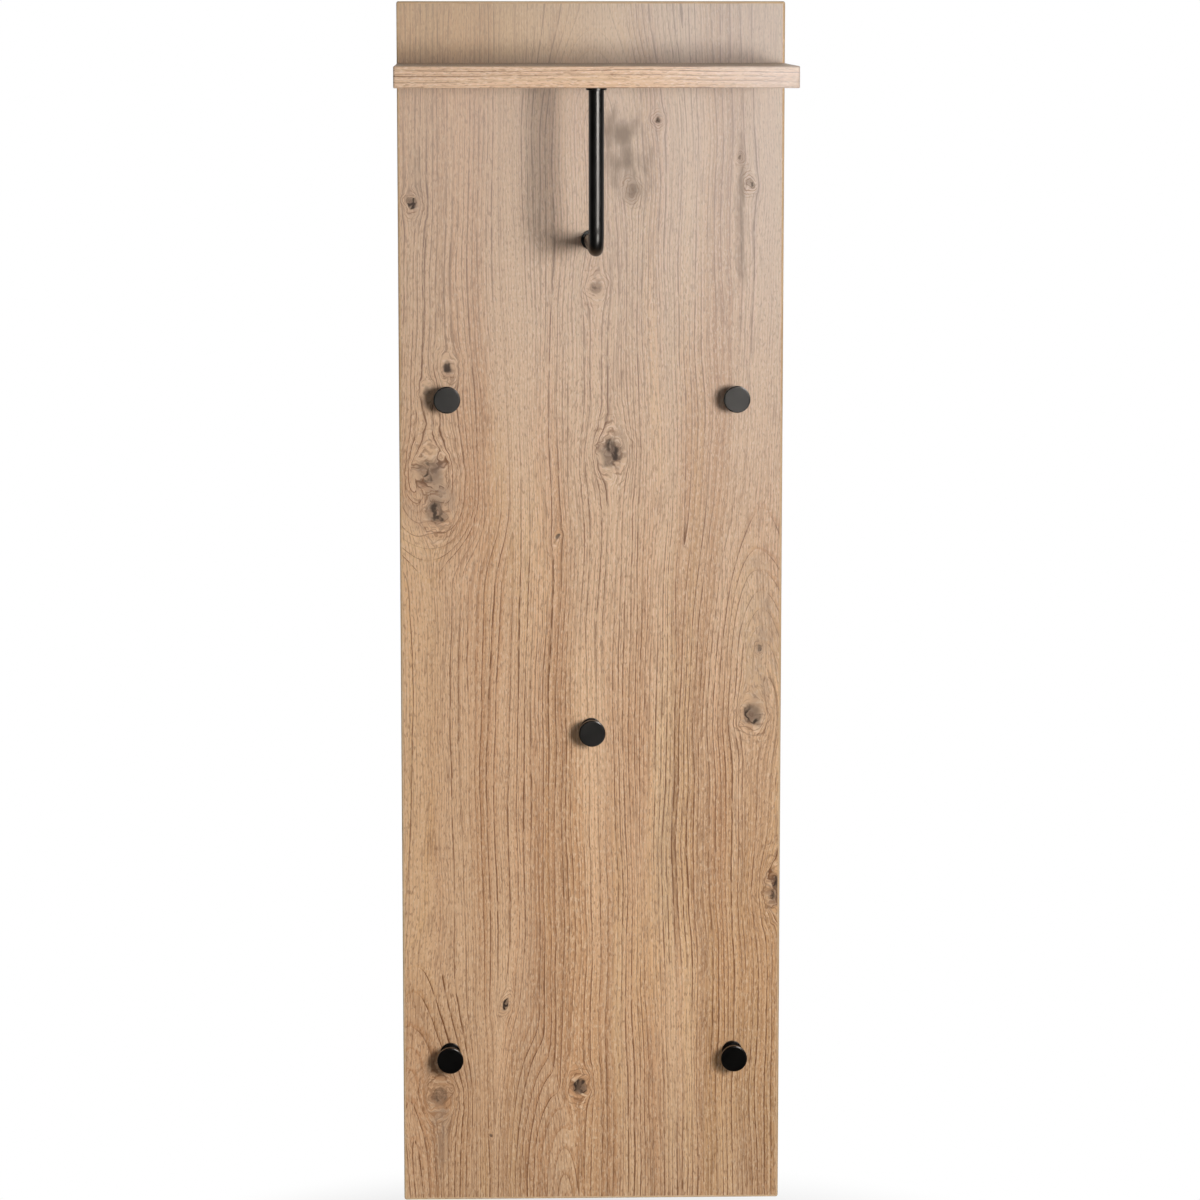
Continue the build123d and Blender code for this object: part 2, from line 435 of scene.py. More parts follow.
def vector_math(tree, operation, *vectors):
    """The results of a Vector Math node."""
    return put(tree, "ShaderNodeVectorMath", dict(enumerate(vectors)), operation=operation).outputs


def axes(tree, vector):
    """The parts of a vector, named X, Y and Z."""
    return put(tree, "ShaderNodeSeparateXYZ", {0: vector}).outputs


def channels(tree, colour):
    """The red, green and blue of a colour."""
    return put(tree, "ShaderNodeSeparateColor", {0: colour}).outputs


def joined(tree, *parts):
    """A vector made from its parts."""
    return put(tree, "ShaderNodeCombineXYZ", dict(enumerate(parts))).outputs[0]


def span(tree, value, low, high, to_low=0.0, to_high=1.0):
    """A value eased from one range to another and held at its ends."""
    ends = {"Value": value, "From Min": low, "From Max": high, "To Min": to_low, "To Max": to_high}
    node = put(tree, "ShaderNodeMapRange", ends, interpolation_type="SMOOTHSTEP")
    return node.outputs["Result"]


def place(tree, vector, stretch=(1, 1, 1), shift=(0, 0, 0), turn=(0, 0, 0)):
    """A vector moved, turned and stretched by a Mapping node."""
    inputs = {"Vector": vector, "Location": shift, "Rotation": turn, "Scale": stretch}
    return put(tree, "ShaderNodeMapping", inputs).outputs[0]


def mottle(tree, vector, scale=1.0, detail=2.0, roughness=0.5):
    """The value of a Noise Texture."""
    inputs = {"Vector": vector, "Scale": scale, "Detail": detail, "Roughness": roughness}
    return put(tree, "ShaderNodeTexNoise", inputs).outputs[0]


def swayed(tree, vector, scale, reach):
    """Pushes a vector about, across and along, by up to half the reach."""
    noise = put(tree, "ShaderNodeTexNoise", {"Vector": vector, "Scale": scale, "Detail": 2.0})
    push = vector_math(tree, "SUBTRACT", noise.outputs["Color"], (0.5, 0.5, 0.5))[0]
    return vector_math(tree, "MULTIPLY_ADD", push, (reach, 0.0, reach), vector)[0]


def length_of(tree, across, up):
    """The length of a line from its two parts."""
    return vector_math(tree, "LENGTH", joined(tree, across, up))["Value"]


def tint(tree, factor, first, second, blend="MIX"):
    """One colour mixed into another."""
    inputs = {0: factor, 6: first, 7: second}
    node = put(tree, "ShaderNodeMix", inputs, data_type="RGBA", blend_type=blend)
    return node.outputs[2]


def rgba(colour):
    """A colour with full opacity, as node sockets take it."""
    return (*colour, 1.0)


def shaded(tree, factor, colour, shade):
    """A colour multiplied by a shade where the factor says."""
    return tint(tree, factor, colour, rgba(shade), "MULTIPLY")


def cells(tree, vector, scale, **choices):
    """The results of a Voronoi Texture."""
    return put(tree, "ShaderNodeTexVoronoi", {"Vector": vector, "Scale": scale}, **choices).outputs


def new_group(name, inputs, outputs):
    """A node group with its sockets, and its input node."""
    group = bpy.data.node_groups.new(name, "ShaderNodeTree")
    for direction, sockets in (("INPUT", inputs), ("OUTPUT", outputs)):
        for socket, kind in sockets.items():
            group.interface.new_socket(socket, in_out=direction, socket_type=kind)
    return group, group.nodes.new("NodeGroupInput")


def new_material(name):
    """An empty material, with its Principled shader."""
    material = bpy.data.materials.new(name)
    material.use_nodes = True
    return material, material.node_tree, material.node_tree.nodes["Principled BSDF"]


def here(tree):
    """Object coordinates in metres."""
    return put(tree, "ShaderNodeTexCoord").outputs["Object"]


# ------------------------------------------------------------------ oak decor

PANEL_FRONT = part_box("panel_board")[0].y
# A board's core starts this far under its faces, in metres
SKIN = 0.0004
# Further than any knot or crown reaches
FAR = 9.0
# The most that smoke covers of the wood under it
SMOKE_DEPTH = 0.30

# How straight decor changes along its length: the share of a last colour left and right, and that colour
YELLOW = (0.50, 0.36, 0.17)
YELLOWED = (0.35, 0.35, YELLOW)
HARDLY_YELLOWED = (0.1, 0.1, YELLOW)
# Painted sheen: pale grey towards the right end, where the light shines in the gloss
PAINTED_SHEEN_TO_RIGHT = (0.0, 0.5, (0.62, 0.56, 0.53))
BROWNED = (0.15, 0.15, (0.42, 0.28, 0.17))

# Knots of the panel's face: across, up, radius and darkness, in metres
KNOTS = (
    (-0.240, 0.554, 0.0080, 0.75),
    (0.056, 0.574, 0.0080, 0.35),
    (0.092, 0.667, 0.0055, 0.60),
    (0.007, 0.443, 0.0100, 0.50),
    (0.214, 0.581, 0.0070, 0.50),
    (0.202, 0.614, 0.0045, 0.50),
    (-0.194, 0.334, 0.0095, 0.65),
    (-0.224, 0.306, 0.0070, 0.55),
    (-0.218, 0.192, 0.0200, 0.55),
    (-0.210, 0.136, 0.0160, 0.55),
    (0.026, 0.219, 0.0180, 0.65),
    (-0.047, 0.103, 0.0050, 0.85),
    (0.227, -0.050, 0.0045, 0.80),
    (0.220, -0.142, 0.0140, 0.70),
    (0.268, -0.386, 0.0250, 0.75),
    (-0.119, -0.547, 0.0080, 0.75),
    (-0.017, -0.666, 0.0120, 0.85),
    (-0.211, -0.676, 0.0170, 0.50),
    (-0.139, -0.735, 0.0030, 0.85),
)

# Crowns of the cathedral grain: across, where it opens, where it closes, and its half width
CROWNS = (
    (-0.038, -0.900, -0.430, 0.085),
    (-0.236, -0.820, -0.320, 0.070),
    (0.236, -0.170, 0.200, 0.060),
    (0.004, 0.610, 0.840, 0.056),
    (-0.219, 0.200, 0.030, 0.060),
)

# Smoky patches of the face: across, up, half width, half height and strength
SMOKE = (
    (0.038, 0.650, 0.030, 0.034, 0.95),
    (0.049, 0.610, 0.034, 0.036, 1.00),
    (0.058, 0.572, 0.021, 0.022, 0.80),
    (0.204, 0.560, 0.008, 0.140, 0.80),
    (-0.232, 0.600, 0.010, 0.060, 0.35),
    (-0.215, 0.160, 0.032, 0.045, 0.55),
    (0.026, 0.222, 0.026, 0.028, 0.35),
    (0.222, -0.145, 0.024, 0.026, 0.45),
    (0.225, 0.070, 0.018, 0.014, 0.25),
    (0.234, -0.040, 0.036, 0.110, 0.40),
    (-0.200, -0.640, 0.040, 0.022, 0.25),
    (-0.208, -0.735, 0.012, 0.055, 0.45),
)


def knot_group():
    """Node group that leads the grain round one knot."""
    group, entry = new_group(
        "Knot Flow",
        {"Vector": "NodeSocketVector", "Centre": "NodeSocketVector", "Radius": "NodeSocketFloat"},
        {"Shift": "NodeSocketFloat", "Reach": "NodeSocketFloat"},
    )
    vector, centre, radius = entry.outputs[:3]
    offset = axes(group, vector_math(group, "SUBTRACT", vector, centre)[0])
    across, along = offset["X"], offset["Z"]
    # The grain parts round a longer oval than the knot's own body
    flow = length_of(group, across, times(group, along, 0.62))
    body = length_of(group, across, times(group, along, 0.78))
    wide = times(group, radius, 1.12)
    share = reckon(group, "DIVIDE", wide, reckon(group, "MAXIMUM", flow, wide))
    shift = times(group, across, share, share, -0.88)
    put(group, "NodeGroupOutput", {"Shift": shift, "Reach": reckon(group, "DIVIDE", body, radius)})
    return group


def oak_group(colours):
    """Node group that draws the oak decor: X is the figure, Y runs across the grain and Z along it."""
    group, entry = new_group(
        "Oak Decor",
        {"Vector": "NodeSocketVector", "Contrast": "NodeSocketFloat", "Steepness": "NodeSocketFloat"},
        {"Color": "NodeSocketColor", "Roughness": "NodeSocketFloat"},
    )
    vector, contrast, steepness = entry.outputs[:3]
    light, middle, dark = (rgba(c) for c in (colours.oak_light, colours.oak_middle, colours.oak_dark))

    def noise(stretch, shift=(0, 0, 0), detail=2):
        return mottle(group, place(group, vector, stretch, shift), detail=detail)

    # Broad tones, some yellower and some redder
    stretched = place(group, vector, (17, 8, 1.1))
    tones = put(group, "ShaderNodeTexNoise", {"Vector": stretched, "Scale": 1.0}).outputs["Color"]
    paler, redder, yellower = channels(group, tones)[:3]
    colour = tint(group, span(group, paler, 0.38, 0.62, 0.0, 0.9), middle, light)
    colour = shaded(group, span(group, redder, 0.40, 0.60), colour, (1.0, 0.94, 0.90))
    colour = shaded(group, span(group, yellower, 0.52, 0.64), colour, (1.07, 1.09, 1.03))
    # Growth rings: a crisp dark line that fades, and pale wood before the next one
    parts = axes(group, vector)
    wobble = noise((38, 8, 0.9), (7, 0, 0))
    breaks = span(group, noise((20, 330, 55), (0, 4, 0)), 0.36, 0.52, 0.30, 1.0)
    along = times(group, parts["Z"], 2.2)
    early = 0.0
    for field, density, steep, weight in (("Y", 270.0, 1.0, 0.50), ("X", 140.0, steepness, 1.0)):
        ring = reckon(group, "MULTIPLY_ADD", wobble, 2.4, times(group, parts[field], density))
        reached = reckon(group, "DIVIDE", reckon(group, "FRACT", ring), steep)
        number = times(group, reckon(group, "FLOOR", ring), 0.37)
        each = mottle(group, joined(group, number, weight, along), detail=1)
        strong = span(group, each, 0.32, 0.58, 0.15 * weight, weight)
        line = times(group, span(group, reached, 0.30, 0.05), strong, breaks)
        early = reckon(group, "MAXIMUM", early, times(group, line, span(group, steep, 0.12, 0.35)))
    colour = tint(group, times(group, span(group, reached, 0.45, 0.95), 0.55), colour, light)
    # Dashes, pores and glints run straight along the grain
    dense = span(group, noise((6, 24, 1.6), (3, 0, 0)), 0.40, 0.58, 0.25, 1.0)
    dashes = times(group, span(group, noise((20, 480, 20)), 0.53, 0.60), dense)
    pores = span(group, noise((20, 640, 130), detail=1), 0.55, 0.68)
    glints = span(group, noise((20, 600, 170), (5, 2, 0)), 0.52, 0.64)
    colour = tint(group, times(group, glints, 0.45), colour, (0.78, 0.62, 0.48, 1))
    for mark, share in ((early, 1.00), (dashes, 0.32), (pores, 0.45)):
        colour = tint(group, times(group, contrast, share, mark), colour, dark)
    marks = reckon(group, "MAXIMUM", reckon(group, "MAXIMUM", dashes, pores), early)
    roughness = span(group, marks, 0.0, 1.0, 0.36, 0.56)
    put(group, "NodeGroupOutput", {"Color": colour, "Roughness": roughness})
    return group


def round_knots(tree, vector, across):
    """Leads the grain round the knots of the panel, and gives the reach and the depth of the nearest."""
    flow = bpy.data.node_groups.get("Knot Flow") or knot_group()
    bent = swayed(tree, vector, 42.0, 0.022)
    rough_edge = mottle(tree, vector, 90, 2)
    nearest, depth = FAR, 0.0
    for x, z, radius, darkness in KNOTS:
        inputs = {"Vector": bent, "Centre": (x, 0, z), "Radius": radius}
        knot = put(tree, "ShaderNodeGroup", inputs, node_tree=flow).outputs
        across = reckon(tree, "ADD", across, knot["Shift"])
        reach = strayed(tree, knot["Reach"], rough_edge, 0.7)
        depth = reckon(tree, "MAXIMUM", times(tree, span(tree, reach, 1.05, 0.35), darkness), depth)
        nearest = reckon(tree, "MINIMUM", reach, nearest)
    return across, nearest, depth


def through_crowns(tree, across, up):
    """The distance from the middle of the nearest crown, whose arches close the grain, and its slope."""
    figure, steepness = FAR, 1.0
    for x, opens, closes, half_width in CROWNS:
        on = span(tree, up, opens, closes)
        rise = times(tree, reckon(tree, "SMOOTH_MIN", on, 1.0, 0.3), half_width)
        rate = span(tree, on, 0.70, 1.0, half_width / abs(closes - opens), 0.0)
        offset = reckon(tree, "SUBTRACT", across, x)
        distance = length_of(tree, offset, rise)
        slope = reckon(tree, "DIVIDE", length_of(tree, offset, times(tree, rise, rate)), distance)
        slope = reckon(tree, "MAXIMUM", slope, 0.12)
        closer = reckon(tree, "LESS_THAN", distance, figure)
        steepness = put(tree, "ShaderNodeMix", {0: closer, 2: steepness, 3: slope}).outputs[0]
        figure = reckon(tree, "SMOOTH_MIN", distance, figure, 0.012)
    return figure, steepness


def knotted_grain(tree, vector):
    """The panel's grain with its knots and crowns, its slope, and the reach and depth of the knots."""
    parts = axes(tree, vector)
    wander = mottle(tree, place(tree, vector, (7, 7, 2.6)), detail=2)
    shiver = mottle(tree, place(tree, vector, (60, 60, 14)), detail=1)
    across = strayed(tree, strayed(tree, parts["X"], wander, 0.034), shiver, 0.0020)
    across, nearest, depth = round_knots(tree, vector, across)
    figure, steepness = through_crowns(tree, across, parts["Z"])
    # The sides of a crown differ, and so do the board's two faces
    side = reckon(tree, "MULTIPLY_ADD", parts["Y"], 4.0, across)
    return joined(tree, figure, side, parts["Z"]), steepness, nearest, depth


def chipboard(tree, vector):
    """The colour of the board's core, seen only inside its holes."""
    chips = channels(tree, cells(tree, vector, 420.0)["Color"])
    return tint(tree, chips[0], (0.46, 0.30, 0.16, 1.0), (0.25, 0.15, 0.075, 1.0))


def inside(tree, value, low, high):
    """1 where a coordinate lies between a board's two faces, and 0 on them."""
    above = reckon(tree, "GREATER_THAN", value, low + SKIN)
    return times(tree, above, reckon(tree, "LESS_THAN", value, high - SKIN))


def dress_shader(tree, shader, colour, roughness, height, strength, relief):
    """Links a colour and a roughness to a shader, and a height as a relief in metres."""
    bump = put(tree, "ShaderNodeBump", {"Height": height, "Strength": strength, "Distance": relief})
    tree.links.new(colour, shader.inputs["Base Color"])
    tree.links.new(roughness, shader.inputs["Roughness"])
    tree.links.new(bump.outputs[0], shader.inputs["Normal"])


def finish_wood(tree, shader, colour, roughness, grain, relief):
    """Finishes a wood, with the relief of its pores along the grain."""
    pores = mottle(tree, place(tree, grain, (760, 400, 60)), detail=2)
    dress_shader(tree, shader, colour, roughness, pores, 0.6, relief)


def oak_decor(tree, grain, contrast, steepness=1.0):
    """The colour and roughness of the oak decor, whose node group is made once."""
    group = bpy.data.node_groups.get("Oak Decor") or oak_group(settings().colours)
    inputs = {"Vector": grain, "Contrast": contrast, "Steepness": steepness}
    return put(tree, "ShaderNodeGroup", inputs, node_tree=group).outputs


def face_tones_and_painted_light(tree, colour, across, up):
    """Broad tones of the panel's face, much of them painted light: a painted sheen makes it paler and
    greyer towards the top right, painted shade makes it warmer and darker towards the bottom left, darker
    towards the left, the top and the bottom right, and a painted shadow darkens it over the shelf; it is
    also warmer towards the top left and lighter down the middle of the lower half.
    """
    # Painted sheen and shade: paler and greyer towards the top right, warmer and darker towards the
    # bottom left
    painted_light_drift = reckon(tree, "MULTIPLY_ADD", across, 0.55, up)
    colour = shaded(tree, span(tree, painted_light_drift, 0.7, -0.5), colour, (1.02, 0.96, 0.86))
    # Painted shade: darker towards the left
    colour = shaded(tree, span(tree, across, -0.05, -0.26), colour, (0.93, 0.90, 0.87))
    corner = times(tree, span(tree, across, 0.10, -0.20), span(tree, up, 0.35, 0.75))
    colour = shaded(tree, corner, colour, (0.98, 0.90, 0.77))
    # Painted sheen: a pale grey mixed in towards the top right
    colour = tint(tree, span(tree, painted_light_drift, 0.0, 1.0, 0.0, 0.55), colour, (0.64, 0.57, 0.53, 1))
    # Painted shadow of the shelf: darker and warmer on the strip above it, most towards the left
    painted_shelf_shadow = times(tree, span(tree, across, 0.20, -0.15), span(tree, up, 0.72, 0.76))
    colour = shaded(tree, painted_shelf_shadow, colour, (0.92, 0.86, 0.74))
    # Painted shade: darker towards the top
    colour = shaded(tree, span(tree, up, -0.15, 0.80), colour, (0.92, 0.93, 0.92))
    # Painted shade: darker towards the bottom right
    painted_foot_shade = span(tree, reckon(tree, "MULTIPLY_ADD", across, -0.4, up), -0.55, -0.88)
    colour = shaded(tree, painted_foot_shade, colour, (0.87, 0.88, 0.88))
    off_middle = reckon(tree, "ABSOLUTE", reckon(tree, "ADD", across, 0.010))
    middle = times(tree, span(tree, off_middle, 0.035, 0.012), span(tree, up, 0.0, -0.10))
    return shaded(tree, middle, colour, (1.08, 1.09, 1.08))


def smoky_face(tree, colour, spot, curls):
    """Smoky streaks that run with the grain, and the smoky patches."""
    streaks = mottle(tree, place(tree, spot, (9, 9, 1.7), (2.3, 0, 1.1)), detail=3)
    smoke = span(tree, streaks, 0.60, 0.78, 0.0, 0.4)
    parts = axes(tree, spot)
    for x, z, half_width, half_height, strength in SMOKE:
        aside = reckon(tree, "DIVIDE", reckon(tree, "SUBTRACT", parts["X"], x), half_width)
        above = reckon(tree, "DIVIDE", reckon(tree, "SUBTRACT", parts["Z"], z), half_height)
        reach = reckon(tree, "MULTIPLY_ADD", curls, 2.6, length_of(tree, aside, above))
        patch = span(tree, reach, 2.6, 1.1, 0.0, strength / SMOKE_DEPTH)
        smoke = reckon(tree, "MAXIMUM", smoke, patch)
    return tint(tree, times(tree, smoke, SMOKE_DEPTH), colour, (0.25, 0.19, 0.145, 1))


def knot_marks(tree, colour, spot, curls, nearest, depth):
    """Rings close round each knot, then its body and its cracks."""
    colours = settings().colours
    rings = span(tree, reckon(tree, "SINE", times(tree, nearest, 12.0)), 0.55, 1.0, 0.0, 0.55)
    halo = times(tree, span(tree, nearest, 3.0, 1.2), rings, span(tree, curls, 0.42, 0.56))
    colour = tint(tree, halo, colour, rgba(colours.oak_dark))
    colour = tint(tree, depth, colour, (0.150, 0.098, 0.068, 1))
    squashed = place(tree, swayed(tree, spot, 70.0, 0.02), (1, 0, 0.6))
    edges = cells(tree, squashed, 75.0, feature="DISTANCE_TO_EDGE")["Distance"]
    broken = times(tree, span(tree, depth, 0.3, 0.6), span(tree, curls, 0.40, 0.56))
    return tint(tree, times(tree, span(tree, edges, 0.15, 0.05), broken), colour, rgba(colours.knot))


def dark_specks(tree, colour, spot):
    """Small dark specks, in a few of the cells of a wide net."""
    specks = cells(tree, place(tree, spot, (1, 0, 0.8)), 9.0)
    chosen = span(tree, channels(tree, specks["Color"])[0], 0.5, 0.6)
    speck = times(tree, span(tree, specks["Distance"], 0.017, 0.006), chosen)
    return tint(tree, speck, colour, rgba(settings().colours.knot))


def panel_decor():
    """Oak decor of the panel: upright cathedral grain with knots."""
    material, tree, shader = new_material("Oak Decor Panel")
    spot = here(tree)
    parts = axes(tree, spot)
    grain, steepness, nearest, depth = knotted_grain(tree, spot)
    contrast = span(tree, parts["Z"], 0.45, -0.35, 0.95, 1.05)
    oak = oak_decor(tree, grain, contrast, steepness)
    curls = mottle(tree, place(tree, spot, (55, 55, 22)), detail=3)
    # Broad tones of the face, with painted sheen, painted shade and a painted shadow over the shelf
    colour = face_tones_and_painted_light(tree, oak["Color"], parts["X"], parts["Z"])
    colour = smoky_face(tree, colour, spot, curls)
    colour = knot_marks(tree, colour, spot, curls, nearest, depth)
    colour = dark_specks(tree, colour, spot)
    core = inside(tree, parts["Y"], PANEL_FRONT, 0.0)
    colour = tint(tree, core, colour, chipboard(tree, spot))
    shader.inputs["Specular IOR Level"].default_value = 0.06
    finish_wood(tree, shader, colour, oak["Roughness"], spot, 0.00015)
    return material


def plain_decor(name, order, contrast, fade, relief, gloss=0.06, core=None):
    """Oak decor with straight grain, whose across, depth and along directions are given in order.

    The fade holds the share of a last colour at the left end and at the right end, and that colour, which
    on the shelf's front is a painted sheen.
    The core, where the board shows one, is an axis and the places of the board's two faces on it.
    """
    material, tree, shader = new_material(name)
    spot = here(tree)
    parts = axes(tree, spot)
    across, deep, along = (parts[axis] for axis in order)
    turned_spot = joined(tree, across, deep, along)
    wander = mottle(tree, place(tree, turned_spot, (9, 9, 2.2), (1.7, 5, 0)), detail=2)
    across = strayed(tree, across, wander, 0.03)
    side = reckon(tree, "MULTIPLY_ADD", deep, 4.0, across)
    oak = oak_decor(tree, joined(tree, across, side, along), contrast)
    at_left, at_right, end_colour_and_sheen = fade
    # A last colour along the length: a yellower or browner tone, and on the shelf's front a painted sheen
    colour = tint(tree, span(tree, along, 0.0, 0.27, at_left, at_right), oak["Color"], rgba(end_colour_and_sheen))
    if core is not None:
        axis, low, high = core
        colour = tint(tree, inside(tree, parts[axis], low, high), colour, chipboard(tree, spot))
    shader.inputs["Specular IOR Level"].default_value = gloss
    finish_wood(tree, shader, colour, oak["Roughness"], turned_spot, relief)
    return material


# ------------------------------------------------------------------ other finishes


def black_coat(name, smooth, dull):
    """Satin black powder coat with a fine orange peel, between two roughnesses."""
    material, tree, shader = new_material(name)
    spot = here(tree)
    black = rgba(settings().colours.black_coat)
    cloud = mottle(tree, spot, 45, 3)
    peel = mottle(tree, spot, 1400, 2)
    worn = tint(tree, span(tree, cloud, 0.3, 0.7), black, (0.0025, 0.0022, 0.002, 1))
    dress_shader(tree, shader, worn, span(tree, cloud, 0.3, 0.7, smooth, dull), peel, 0.1, 0.00003)
    shader.inputs["Specular IOR Level"].default_value = 0.3
    shader.inputs["Specular Tint"].default_value = (1.0, 0.94, 0.88, 1)
    return material


def zinc_plate():
    """Bright zinc plating with fine drawing marks and dull clouds."""
    material, tree, shader = new_material("Zinc Plate")
    spot = here(tree)
    bright = rgba(settings().colours.zinc)
    cloud = mottle(tree, spot, 120, 4)
    marks = mottle(tree, place(tree, spot, (2600, 180, 2600)), 1, 2)
    colour = tint(tree, span(tree, cloud, 0.35, 0.7), bright, (0.44, 0.45, 0.47, 1))
    dress_shader(tree, shader, colour, span(tree, cloud, 0.3, 0.7, 0.28, 0.46), marks, 0.25, 0.00002)
    shader.inputs["Metallic"].default_value = 1.0
    return material


def beech():
    """Fluted beech of the dowels, with its short flecks."""
    material, tree, shader = new_material("Beech Dowel")
    spot = here(tree)
    streaks = mottle(tree, place(tree, spot, (900, 40, 900)), 1, 3)
    flecks = span(tree, mottle(tree, place(tree, spot, (2200, 420, 2200)), 1, 1), 0.60, 0.72)
    colour = tint(tree, span(tree, streaks, 0.3, 0.7), (0.70, 0.46, 0.27, 1), (0.56, 0.34, 0.18, 1))
    colour = tint(tree, times(tree, flecks, 0.5), colour, (0.33, 0.17, 0.08, 1))
    turned_spot = place(tree, spot, turn=(math.pi / 2, 0, 0))
    finish_wood(tree, shader, colour, span(tree, streaks, 0.3, 0.7, 0.55, 0.68), turned_spot, 0.00005)
    return material


# ------------------------------------------------------------------ shaping


def set_down(bm, name, material, slot, *nodes):
    """Turns a finished bmesh into a piece that stands for CAD nodes and rides on the body."""
    bmesh.ops.remove_doubles(bm, verts=bm.verts, dist=MERGE)
    bmesh.ops.recalc_face_normals(bm, faces=bm.faces)
    open_edges = [edge for edge in bm.edges if not edge.is_manifold]
    if open_edges:
        raise RuntimeError(f"{name} isn't closed: {len(open_edges)} open edges")
    mesh = bpy.data.meshes.new(name)
    bm.to_mesh(mesh)
    bm.free()
    mesh.shade_smooth()
    mesh.set_sharp_from_angle(angle=math.radians(30))
    mesh.materials.append(material)
    piece = bpy.data.objects.new(name, mesh)
    bpy.context.scene.collection.objects.link(piece)
    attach(piece, BODY)
    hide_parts(*nodes)
    return piece


def soften(bm, edges, width, steps):
    """Rounds edges to a radius."""
    bmesh.ops.bevel(
        bm,
        geom=edges,
        offset=width,
        offset_type="OFFSET",
        segments=steps,
        profile=0.5,
        affect="EDGES",
        material=-1,
        clamp_overlap=False,
    )


def along_axis(edge, axis):
    """Whether an edge runs along an axis of the frame."""
    line = (edge.verts[1].co - edge.verts[0].co).normalized()
    return abs(line[axis]) > 0.999


def held(profile, rounds):
    """A profile with a point on each side of its softened corners, to keep the flats beside them flat."""
    widths = {(radius, height): width for radius, height, width, _ in rounds}
    points = []
    for before, corner, after in zip(profile[-1:] + profile[:-1], profile, profile[1:] + profile[:1]):
        reach, spot = 1.45 * widths.get(corner, 0.0), Vector(corner)
        ways = [Vector(end) - spot for end in (before, after)]
        holds = [[spot + way.normalized() * reach] if 0 < 2 * reach < way.length else [] for way in ways]
        points += [*holds[0], spot, *holds[1]]
    return points


def turned(profile, rounds=()):
    """A closed body spun round Z from (radius, height) points.

    Each of the rounds names a rim by its radius and height, and gives its rounding and its steps.
    """
    profile = held(profile, rounds)
    bm = bmesh.new()
    points = [bm.verts.new((radius, 0, height)) for radius, height in profile]
    lines = [bm.edges.new(pair) for pair in zip(points, points[1:])]
    if min(profile[0][0], profile[-1][0]) > 0:
        lines.append(bm.edges.new((points[-1], points[0])))
    bmesh.ops.spin(
        bm,
        geom=points + lines,
        cent=(0, 0, 0),
        axis=(0, 0, 1),
        dvec=(0, 0, 0),
        angle=math.tau,
        steps=settings().shape.turned_segments,
        use_merge=True,
    )
    bmesh.ops.remove_doubles(bm, verts=bm.verts, dist=MERGE)
    for radius, height, width, cuts in rounds:
        soften(bm, rim_at(bm, radius, height), width, cuts)
    return bm


def rim_at(bm, radius, height):
    """The edges of the ring at a radius and height."""

    def on_ring(vert):
        return abs(vert.co.xy.length - radius) < MERGE and abs(vert.co.z - height) < MERGE

    return [edge for edge in bm.edges if all(on_ring(vert) for vert in edge.verts)]


def stand(bm, spot, away):
    """Moves a body turned round Z to a spot, with its top pointing away."""
    turn = Vector((0, 0, 1)).rotation_difference(Vector(away)).to_matrix().to_4x4()
    bmesh.ops.transform(bm, matrix=Matrix.Translation(spot) @ turn, verts=bm.verts)


def only(kind, items):
    """The vertices or the edges among what a bmesh operator gives back."""
    return [item for item in items if isinstance(item, kind)]


def repeat(bm, spots):
    """Copies a body to several spots, in place of the first one."""
    first = bm.verts[:] + bm.edges[:] + bm.faces[:]
    for spot in spots:
        copy = bmesh.ops.duplicate(bm, geom=first)
        bmesh.ops.translate(bm, vec=spot, verts=only(BMVert, copy["geom"]))
    bmesh.ops.delete(bm, geom=only(BMVert, first), context="VERTS")


def sink_recess(bm, outline, depth, taper):
    """Closes a turned body's open rim at height 0, with a recess of the given outline sunk into it."""
    rim = [edge for edge in bm.edges if edge.is_boundary]
    corners = [bm.verts.new((x, y, 0)) for x, y in outline]
    mouth = [bm.edges.new(pair) for pair in zip(corners, corners[1:] + corners[:1])]
    bmesh.ops.triangle_fill(bm, edges=rim + mouth, use_beauty=True, normal=(0, 0, 1))
    wall = bmesh.ops.extrude_edge_only(bm, edges=mouth)["geom"]
    floor_points = only(BMVert, wall)
    floor_edges = [edge for edge in only(BMEdge, wall) if edge.is_boundary]
    bmesh.ops.scale(bm, vec=(taper, taper, 1), verts=floor_points)
    bmesh.ops.translate(bm, vec=(0, 0, -depth), verts=floor_points)
    bmesh.ops.triangle_fill(bm, edges=floor_edges, use_beauty=True, normal=(0, 0, 1))


def cross_outline(reach, half_width):
    """The twelve corners of a cross recess, in order round its middle."""
    arm = ((reach, -half_width), (reach, half_width), (half_width, half_width))
    corners = []
    for _ in range(4):
        corners += arm
        arm = [(-y, x) for x, y in arm]
    return corners


def hexagon_outline(across_flats):
    """The six corners of a hexagon socket."""
    reach = across_flats / math.sqrt(3)
    return [(reach * math.cos(k * math.tau / 6), reach * math.sin(k * math.tau / 6)) for k in range(6)]


# ------------------------------------------------------------------ pieces


def band_blank(low, high, corners, rims, corner_radius, rim_radius):
    """A rounded board, from which edge bands are cut; corners and rims choose the edges to round."""
    low, high = Vector(low), Vector(high)
    bm = bmesh.new()
    bmesh.ops.create_cube(bm, size=1.0, matrix=Matrix.LocRotScale((low + high) / 2, None, high - low))
    soften(bm, [edge for edge in bm.edges if corners(edge)], corner_radius, 6)
    soften(bm, [edge for edge in bm.edges if rims(edge)], rim_radius, 5)
    return bm


